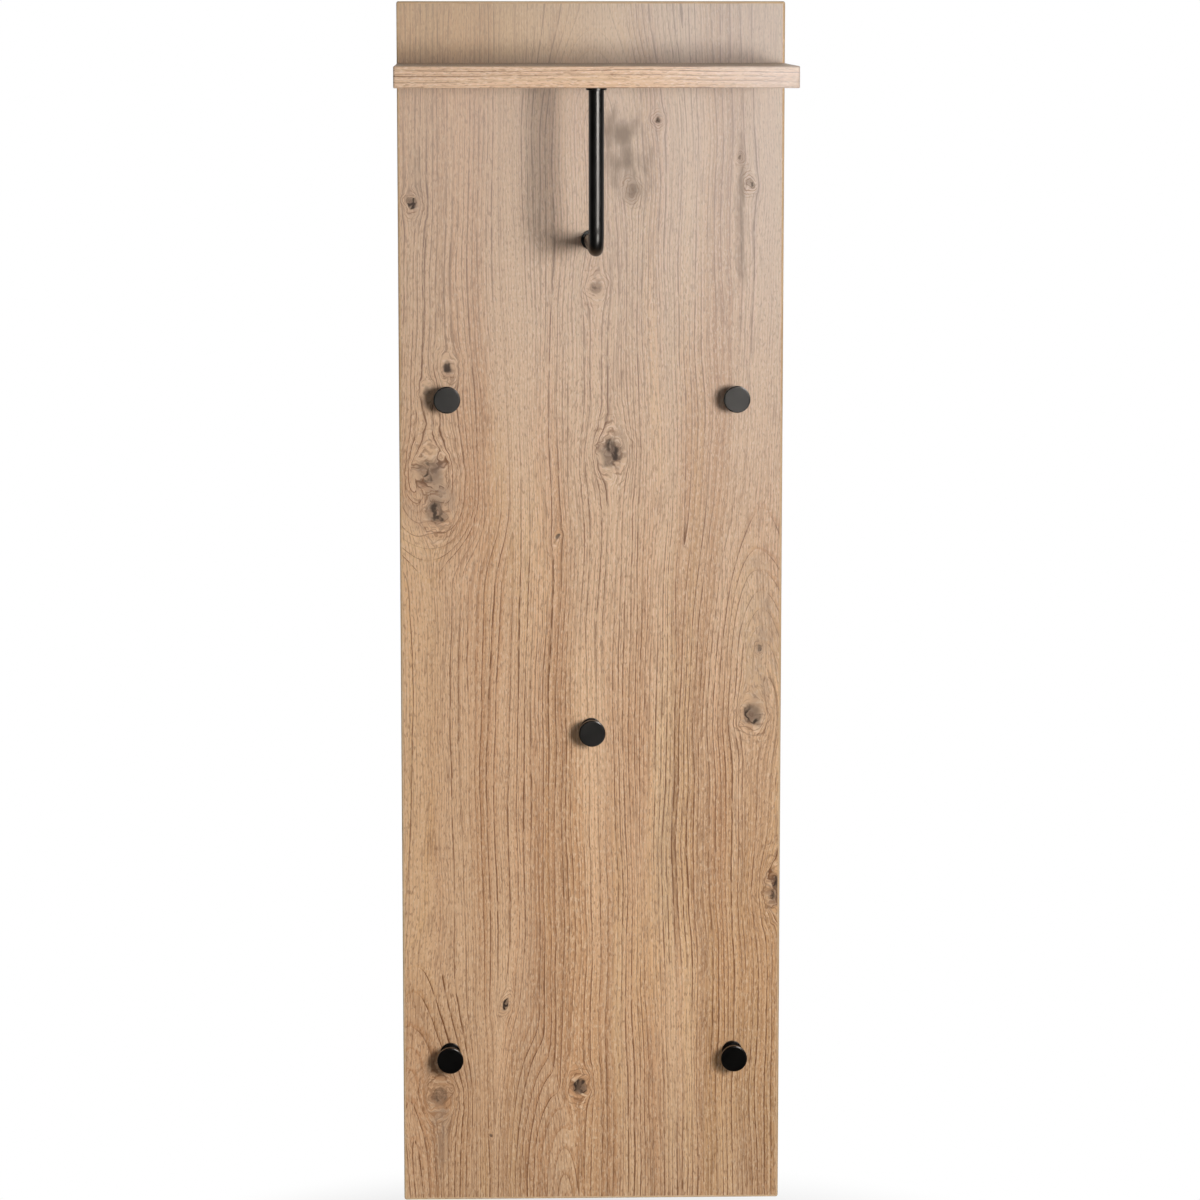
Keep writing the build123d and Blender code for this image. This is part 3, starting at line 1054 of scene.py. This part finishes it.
def cut_band(blank, node, name, material):
    """Cuts one edge band out of a rounded board, where its CAD node lies."""
    bm = blank.copy()
    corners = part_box(node)
    for axis in range(3):
        for corner, side in zip(corners, (-1, 1)):
            furthest = max(vert.co[axis] * side for vert in bm.verts)
            if furthest < corner[axis] * side + NEAR:
                continue
            outwards = Vector((0, 0, 0))
            outwards[axis] = side
            bmesh.ops.bisect_plane(
                bm,
                geom=bm.verts[:] + bm.edges[:] + bm.faces[:],
                dist=MERGE / 10,
                plane_co=corner,
                plane_no=outwards,
                clear_outer=True,
            )
            bmesh.ops.holes_fill(bm, edges=[edge for edge in bm.edges if edge.is_boundary], sides=0)
    return set_down(bm, name, material, "oak_edge", node)


def all_at(edge, axis, *places):
    """Whether both ends of an edge lie at one of the places along an axis."""
    first, second = (vert.co[axis] for vert in edge.verts)
    return any(abs(first - spot) < MERGE and abs(second - spot) < MERGE for spot in places)


def dress_node(node, material):
    """Puts a material in the slots of a CAD node's object."""
    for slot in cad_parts[node].material_slots:
        slot.material = material


class HOOKRACK_OT_boards(bpy.types.Operator):
    """Gives the panel and the shelf their oak decor"""

    bl_idname = "hookrack.boards"
    bl_label = "Finish Boards"

    def execute(self, context):
        low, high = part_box("shelf_board")
        core = ("Z", low.z, high.z)
        shelf = plain_decor("Oak Decor Shelf", "YZX", 0.9, YELLOWED, relief=0.0001, gloss=0.2, core=core)
        dress_node("shelf_board", shelf)
        dress_node("panel_board", panel_decor())
        return {"FINISHED"}


class HOOKRACK_OT_edge_bands(bpy.types.Operator):
    """Builds the rounded edge bands of the panel and the shelf"""

    bl_idname = "hookrack.edge_bands"
    bl_label = "Build Edge Bands"

    def execute(self, context):
        self.panel_bands(settings().shape)
        self.shelf_bands(settings().shape)
        return {"FINISHED"}

    def panel_bands(self, shape):
        """The four bands round the panel, with its outer corners rounded."""
        upright = plain_decor("Oak Band Upright", "XYZ", 0.45, YELLOWED, relief=0.00005)
        level = plain_decor("Oak Band Level", "ZYX", 0.45, YELLOWED, relief=0.00005)
        low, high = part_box("panel_edge_bottom")[0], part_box("panel_edge_top")[1]
        blank = band_blank(
            low,
            high,
            lambda edge: along_axis(edge, 1),
            lambda edge: all_at(edge, 1, low.y, high.y),
            shape.band_corner,
            shape.band_radius,
        )
        for end, material in (("left", upright), ("right", upright), ("top", level), ("bottom", level)):
            cut_band(blank, f"panel_edge_{end}", f"panel_band_{end}", material)
        blank.free()

    def shelf_bands(self, shape):
        """The front band and the two side bands of the shelf, with its front corners rounded."""
        # The front turns pale grey towards its right end as a painted sheen
        front = plain_decor("Oak Band Shelf Front", "ZYX", 0.9, PAINTED_SHEEN_TO_RIGHT, relief=0.00006, gloss=0.09)
        side = plain_decor("Oak Band Shelf Side", "ZXY", 0.8, HARDLY_YELLOWED, relief=0.00006)
        low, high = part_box("shelf_edge_front")[0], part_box("shelf_edge_right")[1]
        blank = band_blank(
            low,
            high,
            lambda edge: along_axis(edge, 2) and all_at(edge, 1, low.y),
            lambda edge: all_at(edge, 2, low.z, high.z) and not all_at(edge, 1, high.y),
            shape.band_corner,
            shape.shelf_radius,
        )
        for end, material in (("front", front), ("left", side), ("right", side)):
            cut_band(blank, f"shelf_edge_{end}", f"shelf_band_{end}", material)
        blank.free()


class HOOKRACK_OT_rail(bpy.types.Operator):
    """Builds the bent hanging rail and its two rosettes"""

    bl_idname = "hookrack.rail"
    bl_label = "Build Hanging Rail"

    def execute(self, context):
        coat = black_coat("Black Coat Rail", smooth=0.30, dull=0.36)
        radius = size_of("rail_tube").x / 2
        self.tube(settings().shape, coat, radius)
        for node, away in (("rail_rosette_wall", (0, -1, 0)), ("rail_rosette_shelf", (0, 0, -1))):
            self.rosette(settings().shape, coat, radius, node, Vector(away))
        return {"FINISHED"}

    def tube(self, shape, coat, radius):
        """The rail's tube: out of the panel, round its bend and up to the shelf."""
        low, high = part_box("rail_tube")
        axis_y, axis_z = low.y + radius, low.z + radius
        bend = shape.bend_radius
        bm = bmesh.new()
        bmesh.ops.create_circle(
            bm,
            radius=radius,
            segments=shape.rail_segments,
            matrix=Matrix.Translation((0, high.y, axis_z)) @ Matrix.Rotation(math.pi / 2, 4, "X"),
        )
        ring = self.pull(bm, bm.edges[:], (0, axis_y + bend - high.y, 0))
        bent = bmesh.ops.spin(
            bm,
            geom=ring,
            cent=(0, axis_y + bend, axis_z + bend),
            axis=(1, 0, 0),
            dvec=(0, 0, 0),
            angle=-math.pi / 2,
            steps=shape.bend_steps,
        )
        self.pull(bm, only(BMEdge, bent["geom_last"]), (0, 0, high.z - axis_z - bend))
        bmesh.ops.remove_doubles(bm, verts=bm.verts, dist=MERGE)
        bmesh.ops.recalc_face_normals(bm, faces=bm.faces)
        bmesh.ops.solidify(bm, geom=bm.faces[:], thickness=shape.rail_wall)
        set_down(bm, "hanging_rail", coat, "black_coat", "rail_tube")

    def rosette(self, shape, coat, radius, node, away):
        """A stepped rosette, in whose shallow socket the rail stands."""
        size = size_of(node)
        thick, wide = abs(size.dot(away)), size.x / 2
        seat, bore, socket = thick - shape.socket_depth, shape.screw_hole / 2, radius + shape.fit_gap
        profile = ((bore, 0), (wide, 0), (wide, thick), (socket, thick), (socket, seat), (bore, seat))
        bm = turned(profile, [(wide, thick, shape.rosette_bevel, 4)])
        stand(bm, middle_of(node) - away * thick / 2, away)
        set_down(bm, node.replace("rosette", "collar"), coat, "black_coat", node)

    def pull(self, bm, edges, way):
        """Extrudes a ring of edges, and gives the ring at the far end."""
        made = bmesh.ops.extrude_edge_only(bm, edges=edges)["geom"]
        moved = only(BMVert, made)
        bmesh.ops.translate(bm, vec=way, verts=moved)
        far_end = set(moved)
        return [edge for edge in only(BMEdge, made) if far_end.issuperset(edge.verts)]


def ring_profile(bore, wide, thick):
    """The section of a flat ring, for turning."""
    return ((bore, 0), (wide, 0), (wide, thick), (bore, thick))


class HOOKRACK_OT_hooks(bpy.types.Operator):
    """Builds the rosette, neck and head of each of the five knob hooks"""

    bl_idname = "hookrack.hooks"
    bl_label = "Build Knob Hooks"

    def execute(self, context):
        coat = black_coat("Black Coat Hooks", smooth=0.28, dull=0.31)
        makers = {"rosette": self.rosette, "neck": self.neck, "head": self.head}
        for hook in HOOKS:
            for part, maker in makers.items():
                node = f"{hook}_{part}"
                size, centre = size_of(node), middle_of(node)
                bm = maker(settings().shape, size.x / 2, size.y)
                stand(bm, centre + Vector((0, size.y / 2, 0)), (0, -1, 0))
                set_down(bm, f"{hook}_{part}_turned", coat, "black_coat", node)
        return {"FINISHED"}

    def rosette(self, shape, wide, thick):
        """A pierced disc with a bevelled front."""
        profile = ring_profile(shape.screw_hole / 2, wide, thick)
        return turned(profile, [(wide, thick, shape.rosette_bevel, 4)])

    def neck(self, shape, wide, thick):
        """A plain sleeve round the screw."""
        return turned(ring_profile(shape.screw_hole / 2, wide, thick))

    def head(self, shape, wide, thick):
        """A round head with a blind tapped hole, whose front is bevelled and eased."""
        tapped, deep = shape.tapped_hole / 2, thick - shape.head_web
        profile = ((0, deep), (tapped, deep), (tapped, 0), (wide, 0), (wide, thick), (0, thick))
        bevel, ease = shape.head_bevel, shape.head_bevel / 5
        rounds = [
            (wide, thick, bevel, 1),
            (wide - bevel, thick, ease, 2),
            (wide, thick - bevel, ease, 2),
            (wide, 0, bevel / 2, 3),
        ]
        return turned(profile, rounds)


class HOOKRACK_OT_fasteners(bpy.types.Operator):
    """Builds the machine, connecting and plate screws and the cover cap"""

    bl_idname = "hookrack.fasteners"
    bl_label = "Build Fasteners"

    def execute(self, context):
        zinc = zinc_plate()
        self.hook_screws(zinc)
        self.rail_screws(zinc)
        self.shelf_screws(zinc)
        self.plate_screws(zinc)
        self.cover_cap()
        return {"FINISHED"}

    def hook_screws(self, zinc):
        """A machine screw from behind into each hook."""
        necks = [middle_of(f"{hook}_neck") for hook in HOOKS]
        bm = self.pan_screw(size_of("hook_screws").y)
        stand(bm, (0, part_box("hook_screws")[1].y, 0), (0, 1, 0))
        repeat(bm, [Vector((neck.x, 0, neck.z)) for neck in necks])
        set_down(bm, "hook_machine_screws", zinc, "zinc_steel", "hook_screws")

    def rail_screws(self, zinc):
        """A machine screw through the panel and one through the shelf, into the rail's plugs."""
        for node, axis in (("rail_screw_wall", 1), ("rail_screw_shelf", 2)):
            away = Vector((0, 0, 0))
            away[axis] = 1
            total = size_of(node)[axis]
            bm = self.pan_screw(total)
            stand(bm, middle_of(node) + away * total / 2, away)
            set_down(bm, node.replace("rail_screw", "rail_machine_screw"), zinc, "zinc_steel", node)

    def shelf_screws(self, zinc):
        """Three connecting screws with hexagon sockets, from behind into the shelf."""
        low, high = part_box("shelf_screws")
        head, total = (high.z - low.z) / 2, high.y - low.y
        thread, neck, neck_end, cone_end, rim = 0.0025, 0.0035, 0.0174, 0.0025, 0.001
        profile = (
            (0, -total),
            (thread, -total),
            (thread, -neck_end),
            (neck, -neck_end),
            (neck, -cone_end),
            (head, -rim),
            (head, 0),
            (head - rim, 0),
        )
        bm = turned(profile, [(thread, -total, 0.0012, 2)])
        sink_recess(bm, hexagon_outline(across_flats=0.004), depth=0.003, taper=0.98)
        stand(bm, (0, high.y, (low.z + high.z) / 2), (0, 1, 0))
        repeat(bm, [Vector((x, 0, 0)) for x in (low.x + head, 0, high.x - head)])
        set_down(bm, "shelf_connecting_screws", zinc, "zinc_steel", "shelf_screws")

    def plate_screws(self, zinc):
        """Two countersunk screws with cross recesses in each hanger plate."""
        low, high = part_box("hanger_screws")
        total = high.y - low.y
        head, rim, shank, cone_end, tip = 0.0035, 0.0009, 0.00175, 0.00175, 0.003
        bm = turned(((0, -total), (shank, tip - total), (shank, -cone_end), (head, 0), (head - rim, 0)))
        sink_recess(bm, cross_outline(reach=0.0018, half_width=0.00045), depth=0.0016, taper=0.6)
        stand(bm, (0, high.y, 0), (0, 1, 0))
        across, up = (low.x + head, high.x - head), (low.z + head, high.z - head)
        repeat(bm, [Vector((x, 0, z)) for x in across for z in up])
        set_down(bm, "plate_screws", zinc, "zinc_steel", "hanger_screws")

    def cover_cap(self):
        """The decor cap over the screw in the shelf's top."""
        size, centre = size_of("rail_screw_cap"), middle_of("rail_screw_cap")
        wide, thick = size.x / 2, size.z
        bm = turned(ring_profile(0, wide, thick), [(wide, thick, 0.0004, 3)])
        stand(bm, centre - Vector((0, 0, thick / 2)), (0, 0, 1))
        cap = plain_decor("Decor Cap", "YZX", 0.5, BROWNED, relief=0.00003)
        set_down(bm, "screw_cover_cap", cap, "decor_cap", "rail_screw_cap")

    def pan_screw(self, total):
        """A pan-head screw with a cross recess, whose head top lies at height 0."""
        shape = settings().shape
        head, shank, tall = shape.pan_head / 2, shape.pan_shank / 2, shape.pan_height
        profile = (
            (0, -total),
            (shank, -total),
            (shank, -tall),
            (head, -tall),
            (head, 0),
            (head * 0.7, 0),
        )
        bm = turned(profile, [(head, 0, tall * 0.42, 5), (shank, -total, 0.0008, 2)])
        sink_recess(bm, cross_outline(head * 0.52, head * 0.13), depth=tall * 0.6, taper=0.6)
        return bm


class HOOKRACK_OT_hanger_plates(bpy.types.Operator):
    """Eases the rims of the two keyhole plates on the back"""

    bl_idname = "hookrack.hanger_plates"
    bl_label = "Build Hanger Plates"

    def execute(self, context):
        zinc = zinc_plate()
        for side in ("left", "right"):
            node = f"hanger_plate_{side}"
            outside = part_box(node)[1].y
            bm = bmesh.new()
            bm.from_mesh(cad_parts[node].data)
            bmesh.ops.remove_doubles(bm, verts=bm.verts, dist=MERGE)
            bmesh.ops.dissolve_limit(bm, angle_limit=math.radians(1), verts=bm.verts, edges=bm.edges)
            steep = math.radians(60)
            rims = [e for e in bm.edges if all_at(e, 1, outside) and e.calc_face_angle(0) > steep]
            soften(bm, rims, settings().shape.plate_bevel, 2)
            set_down(bm, f"keyhole_plate_{side}", zinc, "zinc_steel", node)
        return {"FINISHED"}


class HOOKRACK_OT_inner_parts(bpy.types.Operator):
    """Finishes the dowels in the shelf joint and the plugs in the rail"""

    bl_idname = "hookrack.inner_parts"
    bl_label = "Finish Inner Parts"

    def execute(self, context):
        dress_node("shelf_dowels", beech())
        zinc = zinc_plate()
        for node in ("rail_insert_wall", "rail_insert_shelf"):
            dress_node(node, zinc)
        return {"FINISHED"}


# ------------------------------------------------------------------ studio


def seen_by(tree, kinds):
    """1 for the named kinds of ray, and 0 for all others."""
    rays = put(tree, "ShaderNodeLightPath")
    total = 0.0
    for kind in kinds:
        total = reckon(tree, "MAXIMUM", rays.outputs[kind], total)
    return total


def softbox(name, spot, target, size, power, duty, spread=180):
    """An area lamp that faces a target, and either "lights" the object or only "shines" in its gloss."""
    light = bpy.data.lights.new(name, "AREA")
    light.shape = "RECTANGLE"
    light.size, light.size_y = size
    light.energy = power
    light.spread = math.radians(spread)
    lamp = bpy.data.objects.new(name, light)
    lamp.location = spot
    lamp.rotation_euler = facing(Vector(target) - Vector(spot))
    lamp.visible_camera = False
    lamp.visible_diffuse = duty == "lights"
    lamp.visible_glossy = duty == "shines"
    bpy.context.scene.collection.objects.link(lamp)


def facing(way):
    """The turn that makes a lamp or a camera look along a way, upright."""
    return way.to_track_quat("-Z", "Y").to_euler()


class HOOKRACK_OT_studio(bpy.types.Operator):
    """Sets up the camera, softboxes, white background and pale floor"""

    bl_idname = "hookrack.studio"
    bl_label = "Set Up Studio"

    def execute(self, context):
        studio = settings().studio
        self.camera(context.scene, studio)
        self.softboxes(studio)
        self.world(context.scene, studio)
        self.floor(studio)
        context.scene.view_settings.view_transform = "Standard"
        return {"FINISHED"}

    def camera(self, scene, studio):
        """A long lens at the height of the panel's top, turned down so that the panel fills the view."""
        low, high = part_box("panel_edge_bottom")[0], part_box("panel_edge_top")[1]
        half_angle = math.atan((high.z - low.z) / studio.camera_distance) / 2
        data = bpy.data.cameras.new("Camera")
        data.sensor_width = 36.0
        data.lens = data.sensor_width / 2 * studio.frame_fill / math.tan(half_angle)
        data.clip_end = 60.0
        camera = bpy.data.objects.new("Camera", data)
        camera.location = (-studio.camera_aside, low.y - studio.camera_distance, high.z)
        way = Vector((studio.aim_aside + studio.camera_aside, studio.camera_distance, 0)).normalized()
        way.z = -math.tan(half_angle)
        camera.rotation_euler = facing(way)
        scene.collection.objects.link(camera)
        scene.camera = camera

    def softboxes(self, studio):
        """The light from the right front that casts the shadows, and what shines in the gloss."""
        middle, rail, rail_bend = (0, 0, 0), (0, 0, 0.55), (0.016, -0.1, 0.47)
        softbox("Key Softbox", (1.00, -3.9, 0.60), middle, (0.7, 0.7), studio.key_power, "lights")
        softbox("Broad Softbox", (1.3, -3.9, 0.50), middle, (1.6, 1.1), studio.broad_power, "lights")
        softbox("Shine Softbox", (1.5, -3.9, 0.95), rail, (2.4, 1.2), studio.shine_power, "shines", 35)
        softbox(
            "Bend Softbox", (0.50, -1.14, -0.50), rail_bend, (0.4, 1.0), studio.bend_power, "shines", 46
        )
        softbox(
            "Fill Softbox", (-2.4, -4.2, 0.1), (0, 0, -0.1), (3.0, 3.0), studio.fill_power, "lights"
        )
        softbox("Rim Softbox", (2.2, -0.5, 2.8), middle, (1.5, 1.5), studio.rim_power, "shines")
        softbox("Back Softbox", (1.2, 4.0, 1.8), middle, (3.0, 3.0), studio.back_power, "lights")

    def world(self, scene, studio):
        """White behind the object, and a dimmer room in front of it for what gloss reflects."""
        world = bpy.data.worlds.new("Studio World")
        scene.world = world
        world.use_nodes = True
        tree = world.node_tree
        tree.nodes.clear()
        way = axes(tree, put(tree, "ShaderNodeTexCoord").outputs["Generated"])
        room = times(tree, span(tree, way["Y"], 0.0, 0.5), span(tree, way["Z"], -0.6, -0.1))
        room = reckon(tree, "MAXIMUM", room, studio.room_gloss)
        glossy = times(tree, seen_by(tree, ["Is Glossy Ray"]), room)
        seen = seen_by(tree, ["Is Camera Ray", "Is Transmission Ray"])
        fill = times(tree, seen_by(tree, ["Is Diffuse Ray"]), studio.ambient)
        strength = reckon(tree, "MAXIMUM", reckon(tree, "MAXIMUM", seen, glossy), fill)
        backdrop = put(tree, "ShaderNodeBackground", {"Color": WHITE, "Strength": strength})
        put(tree, "ShaderNodeOutputWorld", {"Surface": backdrop.outputs[0]})

    def floor(self, studio):
        """A round pale floor under the rack, which fades into the white background."""
        bm = bmesh.new()
        down = Matrix.Translation((0, 0, CAD_LOW.z - studio.floor_drop))
        bmesh.ops.create_circle(
            bm, cap_ends=True, radius=studio.floor_radius, segments=96, matrix=down
        )
        mesh = bpy.data.meshes.new("Studio Floor")
        bm.to_mesh(mesh)
        bm.free()
        floor = bpy.data.objects.new("studio_floor", mesh)
        floor.visible_glossy = False
        bpy.context.scene.collection.objects.link(floor)
        material, tree, shader = new_material("Pale Floor")
        shader.inputs["Base Color"].default_value = (0.86, 0.86, 0.86, 1)
        shader.inputs["Roughness"].default_value = 0.9
        white = put(tree, "ShaderNodeEmission", {"Color": WHITE, "Strength": 1.0})
        seen = seen_by(tree, ["Is Camera Ray", "Is Glossy Ray", "Is Transmission Ray"])
        # The floor turns white towards its rim, by its distance from the panel's middle
        away = vector_math(tree, "LENGTH", here(tree))["Value"]
        fade = times(tree, seen, span(tree, away, 1.10, 1.36, 0.4, 1.0))
        mixed = put(tree, "ShaderNodeMixShader", {0: fade, 1: shader.outputs[0], 2: white.outputs[0]})
        tree.links.new(mixed.outputs[0], tree.nodes["Material Output"].inputs["Surface"])
        mesh.materials.append(material)


# ------------------------------------------------------------------ sidebar


class HOOKRACK_PT_sidebar(bpy.types.Panel):
    """Sidebar panel with the rack's settings and building steps"""

    bl_label = "Wall Hook Rack"
    bl_idname = "HOOKRACK_PT_sidebar"
    bl_space_type = "VIEW_3D"
    bl_region_type = "UI"
    bl_category = "Hook Rack"

    def draw(self, context):
        for title, group in (
            ("Shape", settings().shape),
            ("Colours", settings().colours),
            ("Studio", settings().studio),
        ):
            box = self.layout.box()
            box.label(text=title)
            for name in group.bl_rna.properties.keys():
                if name not in {"rna_type", "name"}:
                    box.prop(group, name)
        for operator in OPERATORS:
            self.layout.operator(operator.bl_idname)


OPERATORS = (
    HOOKRACK_OT_boards,
    HOOKRACK_OT_edge_bands,
    HOOKRACK_OT_rail,
    HOOKRACK_OT_hooks,
    HOOKRACK_OT_fasteners,
    HOOKRACK_OT_hanger_plates,
    HOOKRACK_OT_inner_parts,
    HOOKRACK_OT_studio,
)
CLASSES = (
    HookRackShape,
    HookRackColours,
    HookRackStudio,
    HookRackSettings,
    *OPERATORS,
    HOOKRACK_PT_sidebar,
)


def register():
    """Registers the classes and the scene's settings."""
    for cls in CLASSES:
        bpy.utils.register_class(cls)
    bpy.types.Scene.hook_rack = PointerProperty(type=HookRackSettings)


def unregister():
    """Takes the scene's settings and the classes away again."""
    del bpy.types.Scene.hook_rack
    for cls in reversed(CLASSES):
        bpy.utils.unregister_class(cls)


def main():
    """Builds the whole rack."""
    register()
    bpy.ops.hookrack.boards()
    bpy.ops.hookrack.edge_bands()
    bpy.ops.hookrack.rail()
    bpy.ops.hookrack.hooks()
    bpy.ops.hookrack.fasteners()
    bpy.ops.hookrack.hanger_plates()
    bpy.ops.hookrack.inner_parts()
    bpy.ops.hookrack.studio()


if __name__ == "__main__":
    main()
